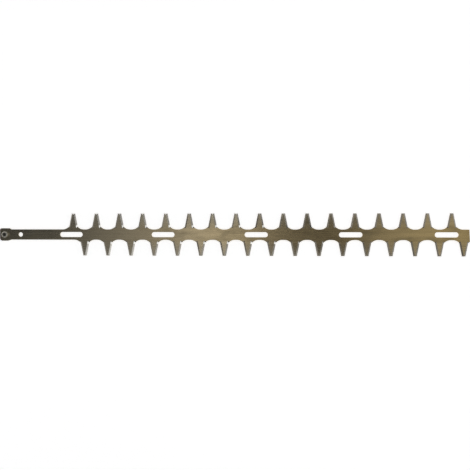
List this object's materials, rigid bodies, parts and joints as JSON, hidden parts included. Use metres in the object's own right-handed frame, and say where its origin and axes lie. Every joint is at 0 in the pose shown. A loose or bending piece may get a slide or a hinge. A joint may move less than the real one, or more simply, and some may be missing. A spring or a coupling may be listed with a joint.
{
  "type": "hedge trimmer blade",
  "caption": "Long flat steel cutter bar with tapered, bevelled teeth along both edges, guide slots down its middle and a drive pin riveted into its widened head.",
  "frame": {"origin": "on the drive pin's axis, in the flat mating face", "axes": "+X along the bar from the drive pin to the far end, +Y across the bar, +Z out of the bevelled face, the way the drive pin stands"},
  "size_m": [0.7044, 0.0636, 0.0085],
  "materials": {
    "ground_steel": "satin",
    "turned_steel": "satin"
  },
  "bodies": {
    "root": {"blade": "ground_steel", "drive_pin": "turned_steel"}
  },
  "joints": []
}
